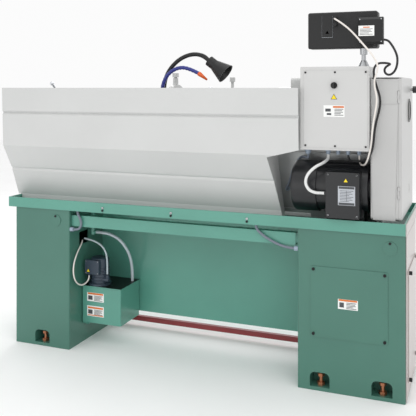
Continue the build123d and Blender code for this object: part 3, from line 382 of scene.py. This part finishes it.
def tube_mesh(line, radius_at, sides=14):
    """Closed tube along a line; radius_at(k, t) is the radius of ring k at fraction t."""
    bm = bmesh.new()
    tangent = (line[1] - line[0]).normalized()
    normal = tangent.orthogonal().normalized()
    rings = []
    for k, place in enumerate(line):
        ahead = line[min(k + 1, len(line) - 1)] - line[max(k - 1, 0)]
        turn = tangent.rotation_difference(ahead.normalized())
        normal = (turn @ normal).normalized()
        tangent = ahead.normalized()
        other = tangent.cross(normal)
        r = radius_at(k, k / (len(line) - 1))
        ring = []
        for i in range(sides):
            a = 2 * math.pi * i / sides
            ring.append(bm.verts.new(place + (normal * math.cos(a) + other * math.sin(a)) * r))
        rings.append(ring)
    for lower, upper in zip(rings, rings[1:]):
        for i in range(sides):
            j = (i + 1) % sides
            bm.faces.new((lower[i], lower[j], upper[j], upper[i]))
    bm.faces.new(rings[0][::-1])
    bm.faces.new(rings[-1])
    return bm


# ---------------------------------------------------------------- cords, hoses and conduits

MOTOR_CONDUIT = (
    (-606, 150, 965), (-606, 150, 950), (-603, 162, 941), (-594, 202, 932), (-570, 234, 920),
    (-542, 250, 892), (-532, 256, 857), (-546, 252, 827), (-570, 240, 815), (-591, 229, 814),
    (-606, 229, 814),
)
HEADSTOCK_CONDUIT = (
    (-521, 150, 965), (-521, 150, 952), (-516, 140, 944), (-500, 104, 945), (-472, 70, 943),
    (-447, 57, 918), (-429, 51, 880), (-418, 48, 842), (-406, 48, 812), (-396, 40, 792),
    (-396, 20, 792),
)
READOUT_CABLE = (
    (-640, 188, 1522), (-640, 200, 1522), (-652, 216, 1515), (-678, 228, 1498), (-712, 233, 1470),
    (-744, 237, 1434), (-775, 241, 1398), (-802, 246, 1366), (-822, 248, 1328), (-816, 246, 1298),
    (-806, 240, 1271), (-806, 234, 1244), (-813, 230, 1212), (-814, 229, 1181), (-808, 229, 1145),
    (-801, 229, 1106), (-796, 229, 1066), (-793, 228, 1026), (-788, 225, 994), (-779, 219, 962),
    (-767, 200, 936), (-749, 172, 924), (-735, 153, 934), (-733, 150, 950), (-733, 150, 965),
)
POWER_CABLE = (
    (-836, 188, 1432), (-850, 188, 1431), (-864, 190, 1415), (-879, 192, 1390), (-889, 194, 1363),
    (-889, 195, 1334), (-881, 195, 1308), (-865, 195, 1292), (-848, 195, 1292), (-838, 195, 1306),
    (-842, 197, 1321), (-855, 203, 1329), (-865, 216, 1333), (-859, 229, 1336), (-841, 234, 1338),
    (-821, 233, 1337), (-807, 230, 1326), (-801, 226, 1307), (-803, 221, 1279), (-812, 217, 1244),
    (-823, 214, 1210), (-826, 213, 1180), (-820, 212, 1145), (-809, 212, 1105), (-802, 212, 1061),
    (-799, 212, 1021), (-792, 209, 987), (-776, 200, 960), (-753, 184, 945), (-700, 158, 938),
    (-688, 150, 951), (-688, 150, 965),
)
PUMP_CABLE = (
    (579, 88, 328), (579, 88, 313), (584, 100, 296), (592, 126, 287), (598, 158, 300),
    (600, 184, 328), (602, 193, 364), (603, 187, 402), (603, 168, 435), (604, 142, 462),
    (604, 112, 486), (612, 96, 497),
)
FEED_HOSE = (
    (494, 60, 334), (494, 60, 366), (495, 60, 404), (502, 59, 440), (524, 58, 468),
    (554, 61, 486), (584, 68, 496), (612, 78, 503),
)
RETURN_HOSE = (
    (420, -60, 278), (420, -60, 320), (413, -34, 388), (418, 0, 450), (442, 28, 500),
    (484, 44, 526), (524, 50, 532), (560, 50, 532),
)
TRAY_CONDUIT_LEFT = (
    (578, 193, 660), (578, 193, 645), (565, 193, 626), (556, 193, 600), (564, 193, 577),
    (583, 193, 569), (600, 193, 569),
)
TRAY_CONDUIT_RIGHT = (
    (-305, 193, 660), (-305, 193, 646), (-318, 193, 629), (-343, 193, 611), (-376, 193, 594),
    (-413, 193, 579), (-450, 193, 572), (-473, 193, 572),
)


def smooth_cord(name, route, radius, slot, node):
    """Plain cord on the root body as a bevelled curve."""
    data = curve_line(name, route)
    data.bevel_depth = radius * MM
    data.bevel_resolution = 5
    data.use_fill_caps = True
    obj = bpy.data.objects.new(name, data)
    bpy.context.collection.objects.link(obj)
    data.materials.append(MATS[slot])
    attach(obj, "root")
    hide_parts(node)
    run_length(centreline(name, route))


PLAIN_END = 0.012           # share of a ribbed conduit at each end that stays smooth, in its gland


def tube_cord(name, route, slot, node, radius, groove=0.0, pitch=4.0, swings=False):
    """Cord as a mesh tube, ribbed when it has a groove; one that swings is left on no body, with its
    placement baked into its mesh.
    """
    line = centreline(name, route)
    if groove:
        path = evenly(line, pitch * MM / 4)
        depth = (0.0, groove * 0.6, groove, groove * 0.6)

        def ribbed(k, t):
            return (radius - (depth[k % 4] if PLAIN_END < t < 1 - PLAIN_END else 0)) * MM

        bm = tube_mesh(path, ribbed, 16)
    else:
        path = evenly(line, pitch * MM)
        bm = tube_mesh(path, lambda k, t: radius * MM, 14)
    obj = as_piece(name, bm, slot, None if swings else "root")
    if swings:
        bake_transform(obj)
    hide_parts(node)


def add_cords():
    """Every cord in place of its CAD tube."""
    tube_cord("motor_conduit_ribbed", MOTOR_CONDUIT, "conduit_white", "motor_conduit",
              radius=6.5, groove=0.9, pitch=4.2)
    tube_cord("headstock_conduit_ribbed", HEADSTOCK_CONDUIT, "conduit_grey", "headstock_conduit",
              radius=6.0, groove=0.9, pitch=4.2)
    tube_cord("readout_cable_line", READOUT_CABLE, "cable_white", "readout_cable",
              radius=3.5, swings=True)
    tube_cord("readout_power_line", POWER_CABLE, "cable_black", "readout_power_cable",
              radius=4.5, swings=True)
    smooth_cord("pump_cable_line", PUMP_CABLE, 3.5, "cable_white", "pump_cable")
    smooth_cord("feed_hose_line", FEED_HOSE, 4.5, "hose_clear", "coolant_feed_hose")
    smooth_cord("return_hose_line", RETURN_HOSE, 7.5, "hose_clear", "coolant_return_hose")
    tube_cord("tray_conduit_left_ribbed", TRAY_CONDUIT_LEFT, "conduit_grey", "tray_conduit_left",
              radius=6.0, groove=0.8, pitch=3.6)
    tube_cord("tray_conduit_right_ribbed", TRAY_CONDUIT_RIGHT, "conduit_grey", "tray_conduit_right",
              radius=6.0, groove=0.8, pitch=3.6)


# ---------------------------------------------------------------- plates, labels and markings

# across, up and outward on the machine's rear and front faces
REAR = ((-1, 0, 0), (0, 0, 1), (0, 1, 0))
FRONT = ((1, 0, 0), (0, 0, 1), (0, -1, 0))
STEP = 0.0004               # height of one layer of a label
SIGN_STEP = 1.5 * STEP      # height of one layer of a warning triangle
TANK_LIP = 4                # the tank's lip stands this far out from its face
CONNECTOR_FACE = 172        # Y of the readout's stepped back, behind its connector plate
TAILSTOCK_FACE = -133       # Y of the tailstock's upper front


def add_label(name, centre, side, size, areas, base="label_white", body="root", slot="cabinet_white"):
    """Thin plate with raised coloured areas: (paint, across, up, width, height) from its centre, in mm."""
    across, up, normal = (Vector(v) for v in side)
    bm = bmesh.new()
    paints = [base]
    place = Vector(metres(centre))
    add_plate(bm, place, across, up, normal, size[0] * MM, size[1] * MM, 2 * STEP)
    for paint, x, z, width, height in areas:
        first = len(bm.faces)
        if paint not in paints:
            paints.append(paint)
        middle = place + across * x * MM + up * z * MM + normal * 2 * STEP
        add_plate(bm, middle, across, up, normal, width * MM, height * MM, STEP)
        bm.faces.ensure_lookup_table()
        for face in bm.faces[first:]:
            face.material_index = paints.index(paint)
    obj = as_piece(name, bm, slot, body, smooth=False, paint=base)
    for paint in paints[1:]:
        obj.data.materials.append(MATS[paint])


def add_triangle(name, centre, side, width, body="root"):
    """Plain yellow triangle on a dark one."""
    across, up, normal = (Vector(v) for v in side)
    bm = bmesh.new()
    place = Vector(metres(centre))
    for layer, scale in enumerate((1.0, 0.78)):
        base = place + normal * SIGN_STEP * layer
        w, h = width * MM * scale / 2, width * MM * scale * 0.29
        corners = ((-w, -h), (w, -h), (0, 2 * h))
        ring = []
        for level in (base, base + normal * SIGN_STEP):
            ring.append([bm.verts.new(level + across * x + up * z) for x, z in corners])
        faces = [bm.faces.new(ring[0][::-1]), bm.faces.new(ring[1])]
        for i in range(3):
            j = (i + 1) % 3
            faces.append(bm.faces.new((ring[0][i], ring[0][j], ring[1][j], ring[1][i])))
        for face in faces:
            face.material_index = layer
    obj = as_piece(name, bm, "black_screws", body, smooth=False, paint="black_screws")
    obj.data.materials.append(MATS["label_yellow"])


def text_bars(x, z, width, rows, gap, height):
    """Rows of grey bars that stand for lines of print."""
    ends = (1.0, 0.86, 0.94, 0.7)
    return [("label_grey", x - width * (1 - ends[i % 4]) / 2, z - i * gap, width * ends[i % 4], height)
            for i in range(rows)]


def add_cabinet_and_cover_labels():
    """Cards on the electrical cabinet and the pedestal cover."""
    cabinet = rear_of("cabinet_cover")
    card = [("label_orange", 18, 17, 44, 7)] + text_bars(20, 8, 36, 5, 6, 2.4)
    card += [("label_grey", -24, 4, 22, 12), ("label_grey", -20, -12, 18, 8)]
    add_label("cabinet_label", (-643.5, cabinet, 1146), REAR, (85, 47), card)
    add_triangle("cabinet_triangle", (-643, cabinet, 1201), REAR, 26)
    small = [("label_orange", 0, 16, 74, 7)] + text_bars(14, 7, 40, 5, 5.6, 2.4)
    small += [("label_grey", -25, -3, 18, 20)]
    add_label("cover_label", (-697, rear_of("pedestal_covers"), 366.5), REAR, (80, 40), small,
              slot="panel_green")


def add_tank_and_pump_labels():
    """Two cards on the coolant tank and a triangle on the pump's box."""
    tank = rear_of("coolant_tank") - TANK_LIP
    card = [("label_orange", 0, 16, 84, 8)] + text_bars(16, 6, 46, 5, 5.4, 2.6)
    card += [("label_grey", -28, -4, 24, 20)]
    add_label("tank_label_upper", (539, tank, 226), REAR, (92, 42), card, slot="panel_green")
    add_label("tank_label_lower", (539, tank, 158), REAR, (92, 50), card + [("label_orange", 0, -20, 84, 4)],
              slot="panel_green")
    add_triangle("pump_triangle", (576, rear_of("coolant_pump"), 352), REAR, 20)


def add_motor_labels():
    """Plain rating plate and a triangle on the motor's junction box."""
    box = rear_of("junction_box")
    plate = [("label_grey", 0, 32, 62, 9), ("label_grey", 0, -32, 62, 9)] + text_bars(0, 20, 54, 8, 6, 1.8)
    plate += [("label_grey", 0, -1, 1.2, 44)]
    add_label("motor_nameplate", (-698, box, 810), REAR, (68, 76), plate, base="plate_silver", slot="steel")
    add_triangle("junction_triangle", (-695, box, 869), REAR, 20)


def add_readout_labels():
    """Card, connector plate and triangle on the back of the readout."""
    card = [("label_orange", 0, 14, 26, 4)] + text_bars(0, 7, 50, 5, 5.4, 1.8)
    add_label("readout_box_label", (-770, rear_of("readout_housing"), 1468), REAR, (62, 41), card,
              body="readout")
    add_label("readout_connector_plate", (-606, CONNECTOR_FACE, 1492), REAR, (45, 90),
              [("black_plastic", -1, 31, 30, 15), ("black_plastic", -1, 9, 30, 12)], base="plate_silver",
              body="readout", slot="steel")
    add_triangle("readout_triangle", (-606, CONNECTOR_FACE + 2 * STEP / MM, 1467), REAR, 20, body="readout")


def add_front_plates():
    """Speed and feed charts and the tailstock's scale, as plain grids of bars."""
    speeds = [("label_grey", -60 + 24 * i, 20 - 13 * j, 18, 5) for i in range(6) for j in range(4)]
    add_label("speed_chart", (-560, front_of("headstock_casting"), 1080), FRONT, (160, 70), speeds,
              base="plate_silver", slot="steel")
    feeds = [("label_grey", -75 + 15 * i, 14 - 7 * j, 11, 3) for i in range(11) for j in range(5)]
    add_label("feed_chart", (-620, front_of("feed_gearbox"), 905), FRONT, (180, 42), feeds,
              base="plate_silver", slot="steel")
    marks = [("label_grey", -46 + 23 * i, 0, 14, 6) for i in range(5)]
    add_label("tailstock_scale", (850, TAILSTOCK_FACE, 1178), FRONT, (120, 12), marks,
              base="plate_silver", body="tailstock", slot="steel")


def add_labels():
    """All plates and markings; none carries a word, a number or a picture."""
    add_cabinet_and_cover_labels()
    add_tank_and_pump_labels()
    add_motor_labels()
    add_readout_labels()
    add_front_plates()


# ---------------------------------------------------------------- fasteners, knobs and grips

SCREW_SIDES = 24
HEAD_PROFILE = ((1.0, 0), (1.0, 0.25), (0.9, 0.48), (0.66, 0.62))      # radius and height, per head radius
SOCKET_REACH = 0.42                                                    # half across the hexagon's corners
SOCKET_LEVELS = (0.62, 0.2)


def hexagon_reach(a):
    """Distance to a hexagon's edge at an angle, where its corners are 1 away."""
    return math.cos(math.pi / 6) / math.cos((a % (math.pi / 3)) - math.pi / 6)


def add_screws(name, places, axis, radius, slot, body="root"):
    """Button-head screws with a hexagon socket each."""
    axis = Vector(axis)
    side = axis.orthogonal().normalized()
    up = axis.cross(side)
    size = radius * MM
    turns = [2 * math.pi * i / SCREW_SIDES for i in range(SCREW_SIDES)]
    out = [side * math.cos(a) + up * math.sin(a) for a in turns]
    bm = bmesh.new()
    for place in places:
        base = Vector(metres(place))
        rings = []
        for reach, along in HEAD_PROFILE:
            rings.append([bm.verts.new(base + axis * along * size + d * reach * size) for d in out])
        for along in SOCKET_LEVELS:
            middle = base + axis * along * size
            rings.append([bm.verts.new(middle + d * SOCKET_REACH * hexagon_reach(a) * size)
                          for a, d in zip(turns, out)])
        for lower, upper in zip(rings, rings[1:]):
            for i in range(SCREW_SIDES):
                j = (i + 1) % SCREW_SIDES
                bm.faces.new((lower[i], lower[j], upper[j], upper[i]))
        bm.faces.new(rings[-1])
        bm.faces.new(rings[0][::-1])
    as_piece(name, bm, slot, body, smooth=False)


def add_fasteners():
    """Screw heads on the boxes, the tray and the headstock's plate."""
    junction, readout, tray = rear_of("junction_box"), rear_of("readout_housing"), rear_of("chip_tray")
    pump, headstock = rear_of("coolant_pump"), front_of("headstock_casting")
    add_screws("junction_screws", [(x, junction, z) for x in (-739, -623) for z in (728, 893)], (0, 1, 0),
               4.2, "steel")
    add_screws("readout_box_screws", [(x, readout, z) for x in (-744, -828) for z in (1424, 1514)], (0, 1, 0),
               3.0, "steel", "readout")
    add_screws("tray_screws", [(x, tray, 684) for x in (431, 84, -271)], (0, 1, 0), 6.0, "steel")
    add_screws("pump_box_screws", [(x, pump, z) for x in (525, 589) for z in (342, 398)], (0, 1, 0),
               2.6, "steel")
    add_screws("headstock_plate_screws", [(x, headstock, z) for x in (-630, -490) for z in (1052, 1108)],
               (0, -1, 0), 3.2, "steel")


KNOB_BASE = (-914, -177, 1232)
KNOB_PROFILE = ((0, 0.0135), (0.001, 0.0157), (0.0145, 0.0157), (0.0172, 0.0135), (0.0176, 0.002))
BAR_HOLE = (-908.3, -80, 1143)
TRIM_PROFILE = ((0, 0.0505), (0.0022, 0.050), (0.003, 0.048), (0.003, 0.043), (0, 0.0412))


def add_knob_caps():
    """Dark moulded cap over the door's knob, and a dark trim around its bar-stock hole."""
    bm = bmesh.new()
    add_lathe(bm, metres(KNOB_BASE), (-1, 0, 0), KNOB_PROFILE, 36)
    as_piece("door_knob_cap", bm, "black_plastic", "end_door_leaf", paint="black_knob", bevel=0.0004)
    bm = bmesh.new()
    add_lathe(bm, metres(BAR_HOLE), (-1, 0, 0), TRIM_PROFILE, 64)
    as_piece("bar_hole_trim", open_ring(bm), "black_plastic", "end_door_leaf", paint="black_knob")


def open_ring(bm):
    """Joins the first and last ring of a lathe in place of its end faces, which leaves the hole open."""
    ends = sorted(bm.faces, key=lambda f: -len(f.verts))[:2]
    bmesh.ops.delete(bm, geom=ends, context="FACES_ONLY")
    bmesh.ops.bridge_loops(bm, edges=[e for e in bm.edges if e.is_boundary])
    return bm


# ---------------------------------------------------------------- motor, pump and drive

MOTOR_AXIS = (114, 828)     # Y and Z
MOTOR_MIDDLE = -583
FIN_COUNT = 28
FIN_LENGTH = 0.150
PUMP_AXIS = (545, 40)       # X and Y


def add_motor_fins():
    """Cooling fins around the motor, left out behind its junction box."""
    bm = bmesh.new()
    for i in range(FIN_COUNT):
        a = math.radians(i * 360 / FIN_COUNT)
        out = Vector((0, math.cos(a), math.sin(a)))
        if out.y > 0.35 and abs(out.z) < 0.86:
            continue
        across = Vector((0, -out.z, out.y))
        base = Vector(metres((MOTOR_MIDDLE, *MOTOR_AXIS))) + out * 0.0985
        add_plate(bm, base - Vector((0.0835, 0, 0)), (1, 0, 0), across, out, FIN_LENGTH, 0.003, 0.0105)
    as_piece("motor_fins", bm, "motor_black", bevel=0.0008, smooth=False)


def add_fan_grille():
    """Four low rings on the end of the motor's fan cover."""
    bm = bmesh.new()
    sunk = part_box("motor_body")[1].x / MM - 0.6
    for radius in (0.022, 0.040, 0.058, 0.076):
        inner, outer = radius - 0.003, radius + 0.003
        add_lathe(bm, metres((sunk, *MOTOR_AXIS)), (1, 0, 0),
                  [(0, outer), (0.0016, outer), (0.0016, inner), (0, inner)], 48)
    as_piece("fan_grille", bm, "motor_black", smooth=False)


def add_pump_fins():
    """Five rings around the pump's motor."""
    bm = bmesh.new()
    for i in range(5):
        add_lathe(bm, metres((*PUMP_AXIS, 300 + 14 * i)), (0, 0, 1),
                  [(0, 0.0465), (0.001, 0.0475), (0.004, 0.0475), (0.005, 0.0465)], 48)
    as_piece("pump_fins", bm, "pump_blue")


LAMP_NECK = (
    (172, 96, 999), (175, 96, 1110), (173, 96, 1240), (164, 96, 1290), (136, 96, 1336), (87, 96, 1377),
    (26, 96, 1396), (-27, 96, 1386), (-54, 96, 1361),
)
COOLANT_ARM = (
    (176, 120, 1005), (179, 120, 1090), (177, 120, 1195), (166, 120, 1262), (144, 120, 1300),
    (111, 120, 1324), (72, 120, 1334), (30, 120, 1325), (-10, 120, 1306),
)
NOZZLE_PROFILE = (
    (0, 0.0095), (0.004, 0.0102), (0.010, 0.0100), (0.014, 0.0090), (0.0505, 0.0042), (0.0508, 0.001),
)


def add_lamp():
    """Ribbed gooseneck over the lamp's plain arm, and its bulb."""
    line = evenly(centreline("lamp_gooseneck", LAMP_NECK), 5.0 * MM / 4)
    rib = (9.9, 9.55, 9.2, 9.55)
    as_piece("lamp_gooseneck", tube_mesh(line, lambda k, t: rib[k % 4] * MM, 20), "black_plastic", "carriage")
    aim = Vector((-88, 0, -65)).normalized()
    bm = bmesh.new()
    add_dome(bm, Vector(metres(LAMP_NECK[-1])) + aim * 0.046, aim, 0.020, 0.030, 24)
    as_piece("lamp_bulb", bm, "cable_white", "carriage", paint="label_white")


def add_coolant_hose():
    """Jointed coolant hose over its plain arm, and the nozzle."""
    line = evenly(centreline("hose", COOLANT_ARM), 4 * MM)
    bead = (7.4, 9.2, 9.2, 8.2)
    beads = tube_mesh(line, lambda k, t: bead[k % 4] * MM, 18)
    as_piece("coolant_hose_beads", beads, "hose_blue", "carriage")
    aim = Vector((-45, 0, -32)).normalized()
    bm = bmesh.new()
    add_lathe(bm, Vector(metres(COOLANT_ARM[-1])) + aim * 0.001, aim, NOZZLE_PROFILE, 28)
    as_piece("coolant_nozzle", bm, "hose_blue", "carriage", paint="nozzle_orange")


def add_tank_top_shade():
    """Dark sheet over the coolant tank's top: painted shade where the tank's top lies in shadow."""
    bm = bmesh.new()
    add_box(bm, metres((400.4, -98.6, 273.9)), metres((614.6, 95.6, 278.3)))
    as_piece("tank_top_painted_shade", bm, "black_plastic", smooth=False, bevel=0.0009)


THREAD_START = -0.452
THREAD_PITCH = 0.006
THREAD_CORE, THREAD_CREST = 0.0098, 0.0112
THREAD_SIDES = 16


def add_lead_screw_thread():
    """Trapezoidal thread wound along the shaft."""
    lo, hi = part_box("lead_screw")
    end = hi.x - 0.012
    centre = Vector((0, (lo.y + hi.y) / 2, (lo.z + hi.z) / 2))
    profile = ((0.0, THREAD_CORE), (0.15, THREAD_CREST), (0.45, THREAD_CREST), (0.6, THREAD_CORE))
    turns = int((end - THREAD_START) / THREAD_PITCH) - 1
    bm = bmesh.new()
    previous = None
    for k in range(turns * THREAD_SIDES + 1):
        a = 2 * math.pi * k / THREAD_SIDES
        shift = THREAD_START + THREAD_PITCH * k / THREAD_SIDES
        places = [(shift + along * THREAD_PITCH, r * math.cos(a), r * math.sin(a)) for along, r in profile]
        ring = [bm.verts.new(centre + Vector(place)) for place in places]
        if previous:
            for i in range(len(profile)):
                j = (i + 1) % len(profile)
                bm.faces.new((previous[i], previous[j], ring[j], ring[i]))
        else:
            bm.faces.new(ring[::-1])
        previous = ring
    bm.faces.new(previous)
    as_piece("lead_screw_thread", bm, "steel", "lead_screw_shaft")


DIGIT_FIRST = (-772, 1506)      # X and Z of the first digit's middle
DIGIT_PITCH, ROW_PITCH = 22, 34
KEY_FIRST = (-586, 1518)
KEY_PITCH = 21


def add_readout_front():
    """Screen, green digits and keys on the front of the readout."""
    face = front_of("readout_housing")
    bm = bmesh.new()
    add_plate(bm, metres((-700, face, 1476)), *FRONT, 0.190, 0.118, 0.0012)
    as_piece("readout_screen", bm, "black_plastic", "readout", smooth=False, bevel=0.0005, paint="screen")
    bm = bmesh.new()
    for row in range(3):
        for digit in range(7):
            x, z = DIGIT_FIRST[0] + digit * DIGIT_PITCH, DIGIT_FIRST[1] - row * ROW_PITCH
            for bar in (-9, 0, 9):
                add_plate(bm, metres((x, face - 1.2, z + bar)), *FRONT, 0.012, 0.0022, 0.0004)
            for side in (-7, 7):
                add_plate(bm, metres((x + side, face - 1.2, z)), *FRONT, 0.0022, 0.016, 0.0004)
    as_piece("readout_digits", bm, "black_plastic", "readout", smooth=False, paint="digit_green")
    bm = bmesh.new()
    for row in range(5):
        for column in range(3):
            place = (KEY_FIRST[0] + column * KEY_PITCH, face, KEY_FIRST[1] - row * KEY_PITCH)
            add_plate(bm, metres(place), *FRONT, 0.015, 0.014, 0.0022)
    as_piece("readout_keys", bm, "cable_white", "readout", smooth=False, bevel=0.0008, paint="label_white")


add_camera()
add_cords()
add_studio()
add_floor()
dress_cad_nodes()
add_labels()
add_fasteners()
add_knob_caps()
add_motor_fins()
add_fan_grille()
add_pump_fins()
add_lamp()
add_coolant_hose()
add_tank_top_shade()
add_lead_screw_thread()
add_readout_front()
